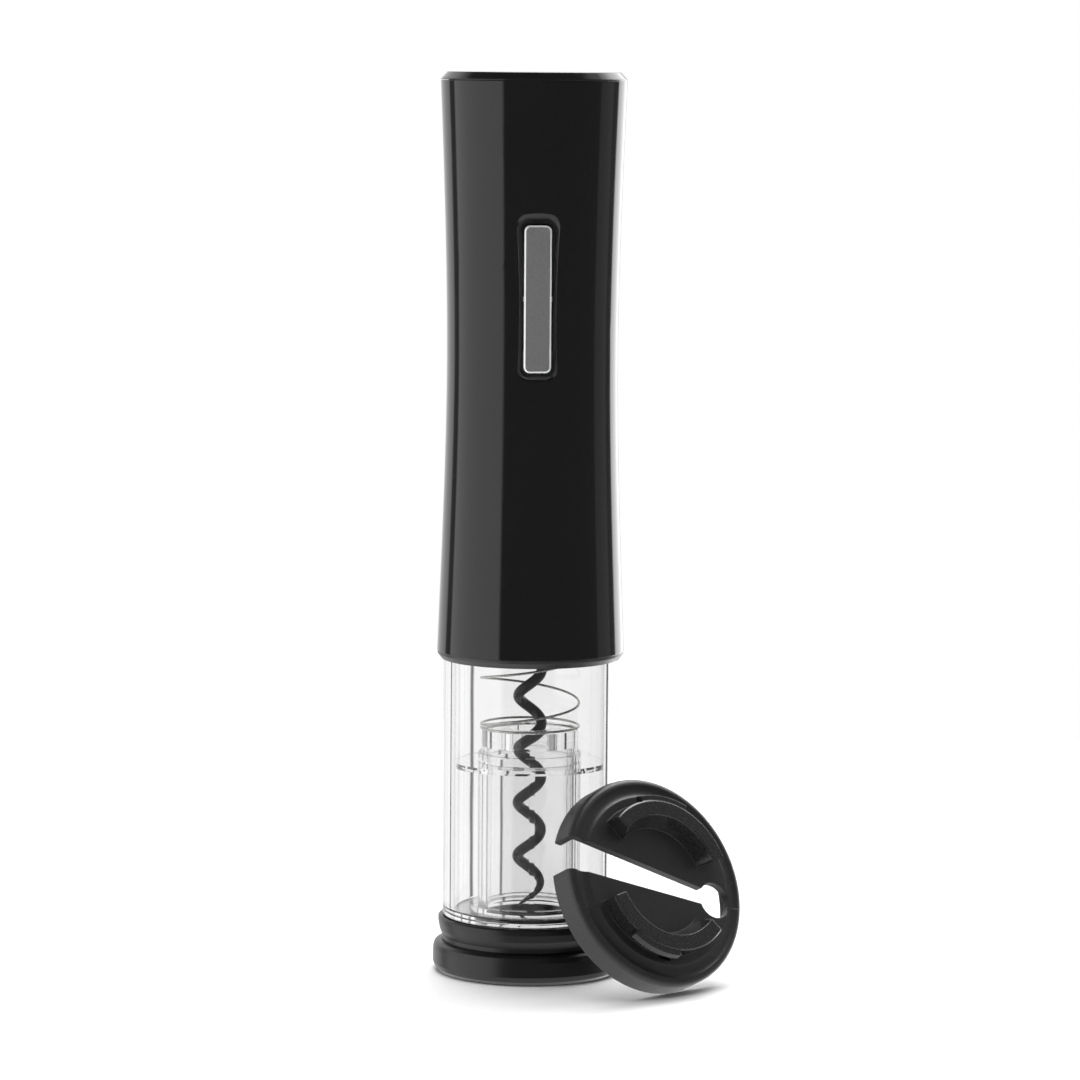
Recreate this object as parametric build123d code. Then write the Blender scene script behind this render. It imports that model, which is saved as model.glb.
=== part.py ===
from build123d import *
import math
import os

# Battery-driven wine opener standing on its base, with its foil cutter leaning on it.
# Millimetres, +Z up. The origin is on the opener's axis, on the surface it stands on.
# The rocker button faces -Y.

# ---- Overall sizes ----
HEIGHT = 260.0
TUBE_RADIUS = 25.1
FOOT_RADIUS = TUBE_RADIUS + 2.7
COLLAR_RADIUS = TUBE_RADIUS + 1.2
BOTTLE_BORE = 15.9
HOUSING_FOOT_RADIUS = TUBE_RADIUS + 1.9
HOUSING_WAIST_RADIUS = TUBE_RADIUS - 0.5
HOUSING_TOP_RADIUS = TUBE_RADIUS + 1.6

# ---- Heights up the axis ----
FOOT_HEIGHT = 9.0
COLLAR_TOP = 16.3
HOUSING_BOTTOM = 93.7
WAIST_HEIGHT = 174.0
CAP_HEIGHT = 2.4
BEZEL_DROP = 2.3
CHASSIS_BOTTOM = 118.0

# ---- Walls, gaps and fits ----
HOUSING_WALL = 2.0
TUBE_WALL = 3.4
TUBE_FLOOR = 2.0
RUNNING_GAP = 0.05
SLIDING_GAP = 0.4
PARTING_GAP = 0.15
REST_GAP = 0.05
PRESS_WALL = 1.4

# ---- Cork guide, spring and worm ----
CORK_BORE = 12.5
GUIDE_WALL = 2.4
GUIDE_FOOT_RADIUS = BOTTLE_BORE + 1.1
GUIDE_FLANGE_Z = 60.1
GUIDE_FLANGE = 1.5
GUIDE_STEP = 2.5
GUIDE_BOSS_RADIUS = CORK_BORE + 1.45
GUIDE_BOSS_HEIGHT = 6.9
GUIDE_CEILING = 5.0
GUIDE_RIB = 1.3
WORM_RADIUS = 4.9
WORM_WIRE = 3.1
WORM_PITCH = 15.6
WORM_PEAK_Z = 25.9
WORM_START_Z = 21.2
WORM_POINT = 3.6
CHUCK_RADIUS = 5.2
CHUCK_OVERLAP = 3.0
GUIDE_TRAVEL = 33.0
SPRING_MEAN_RADIUS = GUIDE_BOSS_RADIUS + 0.25
SPRING_WIRE = 0.7
SPRING_PITCH = 13.7
SPRING_LIFT_ANGLE = 186.5
SPRING_POINTS_PER_TURN = 14

# ---- Gearbox: two planetary stages, module 0.6 ----
MODULE = 0.6
SUN_TEETH = 9
PLANET_TEETH = 18
RING_TEETH = 45
ADDENDUM = 0.5
DEDENDUM = 0.72
GEARBOX_FLOOR = 3.0
GEAR_WIDTH = 6.4
CARRIER_PLATE = 2.0
STAGE_GAP = 0.6
PLANET_PIN = 1.5
CARRIER_RADIUS = 12.0
OUTPUT_SHAFT = 3.0
EAR_RADIUS = 2.6
EAR_CENTRE = SPRING_MEAN_RADIUS + 4.0
GEARBOX_RADIUS = EAR_CENTRE - 1.4
EAR_ANGLES = (90, 210, 330)
M2_SHANK = 1.0
M2_HEAD = 1.9
M2_HEAD_DEPTH = 1.3

# ---- Motor ----
MOTOR_RADIUS = 13.85
MOTOR_LENGTH = 33.0
MOTOR_CAP_LENGTH = 3.0
MOTOR_BOSS = 5.0
MOTOR_SHAFT = 1.15
MOTOR_PLATE = 2.0
MOTOR_SCREW_X = 8.0
TERMINAL_HEIGHT = 4.0

# ---- Batteries: four AA cells ----
CELL_RADIUS = 7.1
CELL_LENGTH = 50.5
CELL_NUB_RADIUS = 2.75
CELL_NUB = 1.2
CELL_GAP = 0.3
CELL_SPACING = 2 * CELL_RADIUS + 0.8
HOLDER_FLOOR = 1.5
HOLDER_HALF = 16.7
HOLDER_RADIUS = 21.0
CONTACT_RADIUS = 5.0
CONTACT_THICK = 0.5
CONTACT_SPRING = 0.9
DECK = 1.5

# ---- Rocker button ----
ROCKER_LENGTH = 41.6
ROCKER_WIDTH = 7.7
ROCKER_DEPTH = 2.6
ROCKER_CORNER = 1.7
ROCKER_EDGE = 0.45
ROCKER_PIVOT_Z = 196.3
ROCKER_FACE_Y = -HOUSING_WAIST_RADIUS - 0.1
ROCKER_PIVOT_DEPTH = 3.8
ROCKER_SIDE_GAP = 0.3
ROCKER_END_GAP = 0.4
ROCKER_PIN = 0.8
ROCKER_TRAVEL = 0.85
DISH_FLOOR_DEPTH = 1.4
DISH_FLARE = 1.2
DISH_FLOOR_LENGTH = ROCKER_LENGTH + 2.0
DISH_FLOOR_WIDTH = ROCKER_WIDTH + 2.0
DISH_WAIST_WIDTH = ROCKER_WIDTH + 0.8
DISH_CORNER = 2.2
DISH_RUN_OUT = 1.2
SWITCH_OFFSET = 12.0
BOARD_FRONT_Y = ROCKER_FACE_Y + 6.7
BOARD_THICK = 1.6
BOARD_HALF_LENGTH = 18.0

# ---- Battery cap ----
CAP_SKIRT = 7.7
CAP_SKIRT_WALL = 1.6
CAP_BEVEL = 1.85
CAP_BORE_RADIUS = HOUSING_TOP_RADIUS - HOUSING_WALL
LUG_ANGLES = (90, 210, 330)
LUG_HALF_ANGLE = 4.0
LUG_HEIGHT = 1.6
LUG_REACH = 0.6
DISC_RADIUS = 20.0
DISC_THICK = 1.8
STUD_RADIUS = 3.0
KEY_X = 13.8
KEY_RADIUS = 1.2
KEY_LENGTH = 9.0

# ---- Screws that join the two housing shells ----
SHELL_SCREW_X = HOUSING_WAIST_RADIUS - 4.6
SHELL_SCREW_HEIGHTS = (153.0, 235.0)
SHELL_BOSS = 2.4
SHELL_SCREW_SHANK = 1.2
SHELL_SCREW_HEAD = 2.0
SHELL_SCREW_SEAT_Y = 5.0
SHELL_SCREW_END_Y = -6.0
SHELL_HOLE_END_Y = -7.0

# ---- Foil cutter, in its own frame: plate face at z = 0, hinge hole towards +x ----
CUTTER_RADIUS = 31.0
CUTTER_DEPTH = 8.5
CUTTER_WALL = 2.0
CUTTER_PLATE = 2.6
CUTTER_SHOULDER = 2.2
PLATEAU_RADIUS = 25.0
COVE_DEPTH = 0.8
HINGE_HOLE_RADIUS = 5.3
HINGE_HOLE_X = 20.4
SLOT_MOUTH = 10.3
SLOT_THROAT = 4.7
JAW_PARTING = 0.08
PLUG_OUTER = 22.4
PLUG_INNER_TOP = 17.8
PLUG_INNER_FOOT = 15.4
PLUG_HEIGHT = 5.6
PLUG_ANGLES = (31, 147)
CLIP_ANGLES = (77, 117)
CLIP_REACH = 2.0
CLIP_HEIGHTS = (2.6, 5.1)
CLIP_POCKET_ANGLES = (77, 88)
CLIP_POCKET_DEPTH = 1.5
WHEEL_RADIUS = 5.2
WHEEL_CENTRE = 19.5
WHEEL_ANGLE = 55.0
WHEEL_PIN = 1.5
WHEEL_HUB = 2.6
WHEEL_BOSS = 1.3
WHEEL_SPACE = 1.8
WHEEL_PIN_SUNK = 1.2

# ---- How the cutter leans ----
LEAN_FACE_BEARING = 37.4
LEAN_TILT = 26.3
LEAN_ROLL = -23.7
LEAN_BEARING = 48.0
LEAN_GAP = 0.3

# ---- Worked out ----
HOUSING_TOP = HEIGHT - CAP_HEIGHT
TUBE_BORE = TUBE_RADIUS - TUBE_WALL
TUBE_TOP = HOUSING_BOTTOM - 0.5
TUBE_SPIGOT = HOUSING_FOOT_RADIUS - HOUSING_WALL - PRESS_WALL
GUIDE_TUBE = CORK_BORE + GUIDE_WALL
TUBE_FLOOR_TOP = COLLAR_TOP + TUBE_FLOOR
BOSS_TOP = GUIDE_FLANGE_Z + GUIDE_FLANGE + GUIDE_STEP + GUIDE_BOSS_HEIGHT
BOSS_BORE = CHUCK_RADIUS + 0.7
SEAT_Z = CHASSIS_BOTTOM + 3.0
SUN_PITCH = MODULE * SUN_TEETH / 2
PLANET_PITCH = MODULE * PLANET_TEETH / 2
RING_PITCH = MODULE * RING_TEETH / 2
PLANET_CENTRE = SUN_PITCH + PLANET_PITCH
CARRIER_2_Z = SEAT_Z + 2 * GEARBOX_FLOOR
STAGE_2_Z = CARRIER_2_Z + CARRIER_PLATE + STAGE_GAP
CARRIER_1_Z = STAGE_2_Z + GEAR_WIDTH + STAGE_GAP
STAGE_1_Z = CARRIER_1_Z + CARRIER_PLATE + STAGE_GAP
PLATE_Z = STAGE_1_Z + GEAR_WIDTH + STAGE_GAP
MOTOR_Z = PLATE_Z + MOTOR_PLATE
MOTOR_TOP = MOTOR_Z + MOTOR_LENGTH
DECK_Z = MOTOR_TOP + MOTOR_CAP_LENGTH + TERMINAL_HEIGHT + 0.4
HOLDER_Z = DECK_Z + DECK
CONTACT_Z = HOLDER_Z + HOLDER_FLOOR
CELL_Z = CONTACT_Z + CONTACT_THICK + CONTACT_SPRING
CELL_TOP = CELL_Z + CELL_LENGTH
HOLDER_TOP = CELL_TOP - 1.0
DISC_Z = CELL_TOP + 2 * REST_GAP + CONTACT_SPRING + CONTACT_THICK
CAP_SKIRT_Z = HOUSING_TOP - CAP_SKIRT
CAP_SKIRT_RADIUS = CAP_BORE_RADIUS - PARTING_GAP
LUG_Z = CAP_SKIRT_Z + 1.0
ROCKER_BACK_Y = ROCKER_FACE_Y + ROCKER_DEPTH
ROCKER_PIVOT_Y = ROCKER_FACE_Y + ROCKER_PIVOT_DEPTH
FROM_BOTTOM = (Align.CENTER, Align.CENTER, Align.MIN)


# ---- Small helpers ----
def disc(radius, z_low, z_high, x=0.0, y=0.0):
    return Pos(x, y, z_low) * Cylinder(radius, z_high - z_low, align=FROM_BOTTOM)


def ring(outer, inner, z_low, z_high):
    return disc(outer, z_low, z_high) - disc(inner, z_low - 1, z_high + 1)


def block(x_range, y_range, z_range):
    ranges = (x_range, y_range, z_range)
    sizes = [high - low for low, high in ranges]
    middles = [(high + low) / 2 for low, high in ranges]
    return Pos(*middles) * Box(*sizes)


def rod_along(axis, radius, low, high, first, second):
    """Round rod along X or Y; first and second are its other two coordinates."""
    rod = disc(radius, low, high)
    if axis == "x":
        return Pos(0, first, second) * Rot(0, 90, 0) * rod
    return Pos(first, 0, second) * Rot(-90, 0, 0) * rod


def turned(outline, arc=360.0):
    """Solid turned about Z from a closed outline of (radius, z) corners."""
    wire = Polyline(*[(radius, 0, z) for radius, z in outline], close=True)
    return revolve(make_face(wire), Axis.Z, arc)


def at_polar(radius, angle):
    turn = math.radians(angle)
    return radius * math.cos(turn), radius * math.sin(turn)


def toothed(teeth, foot, tip, z_low, z_high, tooth_foot=0.55, tooth_tip=0.22, turn=0.0):
    """Straight gear body: each tooth is a share of the pitch wide at its foot and at its tip."""
    step = 360.0 / teeth
    corners = []
    for index in range(teeth):
        middle = turn + index * step
        corners.append(at_polar(foot, middle - tooth_foot * step / 2))
        corners.append(at_polar(tip, middle - tooth_tip * step / 2))
        corners.append(at_polar(tip, middle + tooth_tip * step / 2))
        corners.append(at_polar(foot, middle + tooth_foot * step / 2))
    outline = make_face(Polyline(*corners, close=True))
    return Pos(0, 0, z_low) * extrude(outline, z_high - z_low)


def coil(mean_radius, wire_radius, pitch, z_low, turns, start_angle):
    """Right-handed coil of round wire."""
    path = Helix(pitch, pitch * turns, mean_radius)
    section = Plane(origin=path @ 0, z_dir=path % 0) * Circle(wire_radius)
    return Pos(0, 0, z_low) * Rot(0, 0, start_angle) * sweep(section, path=path, is_frenet=True)


def closed_coil(mean_radius, wire_radius, z):
    return Pos(0, 0, z) * Torus(mean_radius, wire_radius)


def compression_spring(mean_radius, wire_radius, pitch, z_low, z_high, lift_angle):
    """Right-handed spring wire with one dead coil at each end; its open coils start at lift_angle."""
    dead_rise = 2 * wire_radius + 0.1
    open_turns = (z_high - z_low - 2 * dead_rise) / pitch
    total = open_turns + 2
    count = round(total * SPRING_POINTS_PER_TURN)
    points = []
    for index in range(count + 1):
        turns = total * index / count
        rise = dead_rise * (min(turns, 1) + max(turns - 1 - open_turns, 0))
        rise += pitch * min(max(turns - 1, 0), open_turns)
        x, y = at_polar(mean_radius, lift_angle - 360 + 360 * turns)
        points.append((x, y, z_low + rise))
    path = Spline(*points)
    section = Plane(origin=path @ 0, z_dir=path % 0) * Circle(wire_radius)
    return sweep(section, path=path, is_frenet=True)


def save(name, shape):
    export_step(shape, f"parts/{name}.step")


# ---- Housing ----
def housing_radius_points():
    hip = HOUSING_WAIST_RADIUS + 0.37 * (HOUSING_FOOT_RADIUS - HOUSING_WAIST_RADIUS)
    shoulder = HOUSING_WAIST_RADIUS + 0.28 * (HOUSING_TOP_RADIUS - HOUSING_WAIST_RADIUS)
    return (
        (HOUSING_FOOT_RADIUS, HOUSING_BOTTOM),
        (hip, (HOUSING_BOTTOM + WAIST_HEIGHT) / 2),
        (HOUSING_WAIST_RADIUS, WAIST_HEIGHT),
        (shoulder, (HOUSING_TOP + WAIST_HEIGHT) / 2),
        (HOUSING_TOP_RADIUS, HOUSING_TOP),
    )


def housing_core(inset):
    """Everything inside the housing's waisted outline, moved in by inset."""
    points = [(radius - inset, 0, z) for radius, z in housing_radius_points()]
    low, high = points[0], points[-1]
    side = Spline(*points)
    rest = Polyline(low, (0, 0, low[2]), (0, 0, high[2]), high)
    return revolve(make_face([side, *rest.edges()]), Axis.Z)


def dish_outline(above_floor):
    """Upright outline with squarish ends and drawn-in sides, at a height above the dish's floor."""
    y = ROCKER_FACE_Y + DISH_FLOOR_DEPTH - above_floor
    flare = above_floor * DISH_FLARE
    half = DISH_FLOOR_LENGTH / 2 + flare
    wide = DISH_FLOOR_WIDTH / 2 + flare
    narrow = DISH_WAIST_WIDTH / 2 + flare
    corner = DISH_CORNER + flare / 2
    bend = corner * (1 - math.sqrt(0.5))
    straight = half - corner

    def point(x, z):
        return (x, y, ROCKER_PIVOT_Z + z)

    return make_face([
        ThreePointArc(point(wide, straight), point(narrow, 0), point(wide, -straight)),
        ThreePointArc(point(wide, -straight), point(wide - bend, bend - half), point(wide - corner, -half)),
        Line(point(wide - corner, -half), point(corner - wide, -half)),
        ThreePointArc(point(corner - wide, -half), point(bend - wide, bend - half), point(-wide, -straight)),
        ThreePointArc(point(-wide, -straight), point(-narrow, 0), point(-wide, straight)),
        ThreePointArc(point(-wide, straight), point(bend - wide, half - bend), point(corner - wide, half)),
        Line(point(corner - wide, half), point(wide - corner, half)),
        ThreePointArc(point(wide - corner, half), point(wide - bend, half - bend), point(wide, straight)),
    ])


def rocker_opening():
    """Dished recess round the rocker, and the opening that the rocker sits in."""
    dish = loft([dish_outline(DISH_FLOOR_DEPTH + DISH_RUN_OUT), dish_outline(0)])
    sketch = RectangleRounded(ROCKER_WIDTH + 2 * ROCKER_SIDE_GAP,
                              ROCKER_LENGTH + 2 * ROCKER_END_GAP,
                              ROCKER_CORNER + ROCKER_SIDE_GAP)
    inside = -HOUSING_WAIST_RADIUS / 2
    opening = Pos(0, inside, ROCKER_PIVOT_Z) * Rot(90, 0, 0) * extrude(sketch, HOUSING_FOOT_RADIUS)
    return dish, opening


def cap_track():
    """Groove for the cap's lugs, with an entry slot above each lug."""
    groove_radius = CAP_SKIRT_RADIUS + LUG_REACH + 0.2
    groove = disc(groove_radius, LUG_Z - 0.3, LUG_Z + LUG_HEIGHT + 0.3)
    half = math.radians(LUG_HALF_ANGLE) * groove_radius + 0.3
    entry = block((0, groove_radius), (-half, half), (LUG_Z - 0.3, HOUSING_TOP + 1))
    return groove, [Rot(0, 0, angle) * (entry & disc(groove_radius, 0, HEIGHT)) for angle in LUG_ANGLES]


def shell_bosses(side):
    """Screw bosses that reach from the shell's wall to the parting plane; side is -1 or +1."""
    keep = housing_core(HOUSING_WALL / 2)
    ends = sorted((0, side * HOUSING_FOOT_RADIUS))
    bosses = []
    for z in SHELL_SCREW_HEIGHTS:
        for x in (-SHELL_SCREW_X, SHELL_SCREW_X):
            bosses.append(rod_along("y", SHELL_BOSS, *ends, x, z) & keep)
    return bosses


def housing_shell(side):
    """One half of the housing, split on the plane Y = 0; side is -1 at the front."""
    wall = housing_core(0) - housing_core(HOUSING_WALL)
    wall -= disc(CAP_BORE_RADIUS, CAP_SKIRT_Z - 1, HOUSING_TOP + 1)
    groove, entries = cap_track()
    wall -= groove
    wall -= entries
    reach = HOUSING_FOOT_RADIUS + 5
    half = block((-reach, reach), sorted((0, side * reach)), (0, HEIGHT))
    shell = (wall & half) + shell_bosses(side)
    for z in SHELL_SCREW_HEIGHTS:
        for x in (-SHELL_SCREW_X, SHELL_SCREW_X):
            shell -= rod_along("y", SHELL_SCREW_SHANK, SHELL_HOLE_END_Y, reach, x, z)
            shell -= rod_along("y", SHELL_SCREW_HEAD + 0.3, SHELL_SCREW_SEAT_Y, reach, x, z)
    return shell


def make_housing():
    front = housing_shell(-1)
    dish, opening = rocker_opening()
    save("front_shell", front - dish - opening)
    save("rear_shell", housing_shell(1))
    screws = Part()
    for z in SHELL_SCREW_HEIGHTS:
        for x in (-SHELL_SCREW_X, SHELL_SCREW_X):
            shank = rod_along("y", SHELL_SCREW_SHANK, SHELL_SCREW_END_Y, SHELL_SCREW_SEAT_Y, x, z)
            head = rod_along("y", SHELL_SCREW_HEAD, SHELL_SCREW_SEAT_Y, SHELL_SCREW_SEAT_Y + 1.5, x, z)
            screws += shank + head
    save("shell_screws", screws)
    bezel_low = HOUSING_BOTTOM - BEZEL_DROP
    inner = TUBE_RADIUS + PARTING_GAP
    plug = HOUSING_FOOT_RADIUS - HOUSING_WALL - PARTING_GAP
    bezel = turned([
        (inner, bezel_low), (HOUSING_FOOT_RADIUS - 1.3, bezel_low),
        (HOUSING_FOOT_RADIUS - 0.15, HOUSING_BOTTOM - 0.8), (HOUSING_FOOT_RADIUS - 0.15, HOUSING_BOTTOM),
        (plug - 0.3, HOUSING_BOTTOM), (plug - 0.3, HOUSING_BOTTOM + 4), (TUBE_SPIGOT, HOUSING_BOTTOM + 4),
        (TUBE_SPIGOT, TUBE_TOP), (inner, TUBE_TOP),
    ])
    save("lower_bezel", bezel)


# ---- Clear tube and base ----
def make_tube_and_base():
    tube = turned([
        (BOTTLE_BORE, COLLAR_TOP), (TUBE_RADIUS, COLLAR_TOP), (TUBE_RADIUS, TUBE_TOP),
        (TUBE_SPIGOT, TUBE_TOP), (TUBE_SPIGOT, CHASSIS_BOTTOM), (TUBE_BORE, CHASSIS_BOTTOM),
        (TUBE_BORE, TUBE_FLOOR_TOP), (BOTTLE_BORE, TUBE_FLOOR_TOP),
    ])
    save("clear_tube", tube)
    brim = COLLAR_RADIUS
    waist = TUBE_RADIUS + 0.1
    collar = turned([
        (BOTTLE_BORE, FOOT_HEIGHT), (waist, FOOT_HEIGHT), (waist, FOOT_HEIGHT + 1.4),
        (brim - 0.35, FOOT_HEIGHT + 3.4), (brim, COLLAR_TOP - 1.8), (brim, COLLAR_TOP - 0.5),
        (brim - 0.5, COLLAR_TOP), (BOTTLE_BORE, COLLAR_TOP),
    ])
    save("base_collar", collar)
    pad_inner = BOTTLE_BORE + 4.5
    pad_outer = FOOT_RADIUS - 3.3
    pad_proud = 0.3
    foot = turned([
        (BOTTLE_BORE, 0), (BOTTLE_BORE + 1.6, 0), (BOTTLE_BORE + 2.0, pad_proud),
        (FOOT_RADIUS - 1.5, pad_proud), (FOOT_RADIUS - 0.5, 1.2),
        (FOOT_RADIUS, 2.6), (FOOT_RADIUS, FOOT_HEIGHT - 2.2), (FOOT_RADIUS - 0.4, FOOT_HEIGHT - 0.9),
        (FOOT_RADIUS - 1.4, FOOT_HEIGHT - 0.15), (FOOT_RADIUS - 2.2, FOOT_HEIGHT),
        (BOTTLE_BORE, FOOT_HEIGHT),
    ])
    foot -= ring(pad_outer, pad_inner, pad_proud - 1, pad_proud + 1.2)
    save("foot_ring", foot)
    save("foot_pad", ring(pad_outer, pad_inner, 0, pad_proud + 1.2))


# ---- Cork guide, its spring, and the worm ----
def make_guide():
    low = TUBE_FLOOR_TOP + REST_GAP
    step_z = GUIDE_FLANGE_Z + GUIDE_FLANGE
    boss_z = step_z + GUIDE_STEP
    ceiling = BOSS_TOP - GUIDE_CEILING
    flange = TUBE_BORE - SLIDING_GAP
    guide = turned([
        (CORK_BORE, low), (GUIDE_FOOT_RADIUS, low), (GUIDE_FOOT_RADIUS, low + 1.6), (GUIDE_TUBE, low + 1.6),
        (GUIDE_TUBE, GUIDE_FLANGE_Z), (flange, GUIDE_FLANGE_Z), (flange, step_z), (GUIDE_TUBE, step_z),
        (GUIDE_TUBE, boss_z), (GUIDE_BOSS_RADIUS, boss_z), (GUIDE_BOSS_RADIUS, BOSS_TOP),
        (BOSS_BORE, BOSS_TOP), (BOSS_BORE, ceiling), (CORK_BORE, ceiling),
    ])
    rib = block((CORK_BORE - GUIDE_RIB, CORK_BORE + 0.5), (-0.7, 0.7), (low + 3, ceiling + 0.5))
    guide += [Rot(0, 0, angle) * rib for angle in (0, 90, 180, 270)]
    save("cork_guide", guide)

    wire = SPRING_WIRE / 2
    bottom_z = BOSS_TOP + REST_GAP + wire
    top_z = SEAT_Z - wire
    spring = compression_spring(SPRING_MEAN_RADIUS, wire, SPRING_PITCH, bottom_z, top_z, SPRING_LIFT_ANGLE)
    save("guide_spring", spring)


def make_worm():
    wire = WORM_WIRE / 2
    mean = WORM_RADIUS - wire
    chuck_low = BOSS_TOP + GUIDE_TRAVEL
    worm_top = chuck_low + CHUCK_OVERLAP
    turns = (worm_top - WORM_START_Z) / WORM_PITCH
    start_angle = 360 * (WORM_START_Z - WORM_PEAK_Z) / WORM_PITCH
    worm = coil(mean, wire, WORM_PITCH, WORM_START_Z, turns, start_angle)
    path = Helix(WORM_PITCH, WORM_PITCH, mean)
    point = Plane(origin=path @ 0, z_dir=-(path % 0)) * Cone(wire, 0.25, WORM_POINT, align=FROM_BOTTOM)
    worm += Pos(0, 0, WORM_START_Z) * Rot(0, 0, start_angle) * point
    save("worm", worm)
    socket_z = worm_top + 3.0
    chuck = disc(CHUCK_RADIUS, chuck_low, SEAT_Z - 3) - disc(OUTPUT_SHAFT, socket_z, SEAT_Z)
    save("worm_chuck", chuck)
    return socket_z


# ---- Gearbox ----
def with_ears(body, z_low, z_high):
    for angle in EAR_ANGLES:
        x, y = at_polar(EAR_CENTRE, angle)
        body += disc(EAR_RADIUS, z_low, z_high, x, y)
    return body


def ear_holes(radius, z_low, z_high):
    return [disc(radius, z_low, z_high, *at_polar(EAR_CENTRE, angle)) for angle in EAR_ANGLES]


def pin_places():
    return [at_polar(PLANET_CENTRE, angle) for angle in (0, 120, 240)]


def sun_gear(z_low, z_high):
    return toothed(SUN_TEETH, SUN_PITCH - DEDENDUM, SUN_PITCH + ADDENDUM, z_low, z_high)


def planet_gear(z_low, angle):
    half_step = 180.0 / PLANET_TEETH
    gear = toothed(PLANET_TEETH, PLANET_PITCH - DEDENDUM, PLANET_PITCH + ADDENDUM,
                   z_low, z_low + GEAR_WIDTH, turn=half_step)
    gear -= disc(PLANET_PIN + RUNNING_GAP, z_low - 1, z_low + GEAR_WIDTH + 1)
    return Rot(0, 0, angle) * Pos(PLANET_CENTRE, 0, 0) * gear


def make_carrier(name, plate_z, core):
    plate = disc(CARRIER_RADIUS, plate_z, plate_z + CARRIER_PLATE) + core
    pins = Part()
    for x, y in pin_places():
        plate -= disc(PLANET_PIN, plate_z - 1, plate_z + CARRIER_PLATE + 1, x, y)
        top = plate_z + CARRIER_PLATE + STAGE_GAP + GEAR_WIDTH + 0.3
        pins += disc(PLANET_PIN, plate_z, top, x, y)
    save(name, plate)
    save(f"{name}_pins", pins)


def make_gearbox(shaft_low):
    bush_outer = OUTPUT_SHAFT + 1.8
    cover_top = SEAT_Z + GEARBOX_FLOOR
    cover = with_ears(disc(GEARBOX_RADIUS, SEAT_Z, cover_top), SEAT_Z, cover_top)
    locator = SPRING_MEAN_RADIUS - SPRING_WIRE / 2 - 0.3
    cover += ring(locator, locator - 1.2, SEAT_Z - 1.2, SEAT_Z)
    cover -= disc(bush_outer, SEAT_Z - 2, cover_top + 1)
    cover -= ear_holes(M2_SHANK, SEAT_Z - 1, cover_top + 1)
    save("gearbox_cover", cover)
    save("output_bush", ring(bush_outer, OUTPUT_SHAFT + RUNNING_GAP, SEAT_Z, cover_top + 1.5))

    housing = with_ears(disc(GEARBOX_RADIUS, cover_top, PLATE_Z), cover_top, PLATE_Z)
    housing -= toothed(RING_TEETH, RING_PITCH + DEDENDUM, RING_PITCH - ADDENDUM,
                       cover_top - 1, PLATE_Z + 1, tooth_tip=0.28)
    housing -= ear_holes(M2_SHANK, cover_top - 1, PLATE_Z + 1)
    save("gearbox_housing", housing)

    plate = with_ears(disc(GEARBOX_RADIUS, PLATE_Z, MOTOR_Z), PLATE_Z, MOTOR_Z)
    plate -= disc(MOTOR_BOSS, PLATE_Z - 1, MOTOR_Z + 1)
    plate -= ear_holes(M2_SHANK, PLATE_Z - 1, MOTOR_Z + 1)
    for x in (-MOTOR_SCREW_X, MOTOR_SCREW_X):
        plate -= disc(M2_HEAD, PLATE_Z - 1, PLATE_Z + M2_HEAD_DEPTH, x)
        plate -= disc(M2_SHANK, PLATE_Z, MOTOR_Z + 1, x)
    save("motor_mount_plate", plate)

    screws = Part()
    head_z = SEAT_Z - 0.8
    for angle in EAR_ANGLES:
        x, y = at_polar(EAR_CENTRE, angle)
        screws += disc(M2_SHANK, head_z, MOTOR_Z - 0.5, x, y)
        screws += disc(M2_HEAD, head_z - M2_HEAD_DEPTH, head_z, x, y)
    save("gearbox_screws", screws)

    shaft = disc(OUTPUT_SHAFT, shaft_low, CARRIER_2_Z)
    make_carrier("carrier_2", CARRIER_2_Z, shaft)
    make_carrier("carrier_1", CARRIER_1_Z, sun_gear(STAGE_2_Z, CARRIER_1_Z))
    for stage, z in ((1, STAGE_1_Z), (2, STAGE_2_Z)):
        for letter, angle in (("a", 0), ("b", 120), ("c", 240)):
            save(f"planet_{stage}{letter}", planet_gear(z, angle))


# ---- Motor ----
def make_motor():
    boss_z = PLATE_Z + 0.3
    can = disc(MOTOR_RADIUS, MOTOR_Z, MOTOR_TOP) + disc(MOTOR_BOSS, boss_z, MOTOR_Z)
    shaft_top = MOTOR_TOP - 6
    can -= disc(MOTOR_SHAFT + RUNNING_GAP, boss_z - 1, shaft_top + 0.5)
    screw_top = MOTOR_Z + 3
    screws = Part()
    for x in (-MOTOR_SCREW_X, MOTOR_SCREW_X):
        can -= disc(M2_SHANK, MOTOR_Z - 1, screw_top, x)
        screws += disc(M2_SHANK, PLATE_Z + M2_HEAD_DEPTH, screw_top, x)
        screws += disc(M2_HEAD, PLATE_Z, PLATE_Z + M2_HEAD_DEPTH, x)
    save("motor_can", can)
    save("motor_mount_screws", screws)
    save("motor_end_cap", disc(MOTOR_RADIUS - 0.5, MOTOR_TOP, MOTOR_TOP + MOTOR_CAP_LENGTH))
    blade_z = (MOTOR_TOP + MOTOR_CAP_LENGTH, MOTOR_TOP + MOTOR_CAP_LENGTH + TERMINAL_HEIGHT)
    blades = [block((x - 0.25, x + 0.25), (-1.4, 1.4), blade_z) for x in (-8, 8)]
    save("motor_terminals", Part() + blades)
    save("motor_shaft", disc(MOTOR_SHAFT, STAGE_1_Z, shaft_top))
    pinion = sun_gear(STAGE_1_Z, STAGE_1_Z + GEAR_WIDTH)
    save("sun_pinion", pinion - disc(MOTOR_SHAFT, STAGE_1_Z - 1, PLATE_Z))


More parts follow.
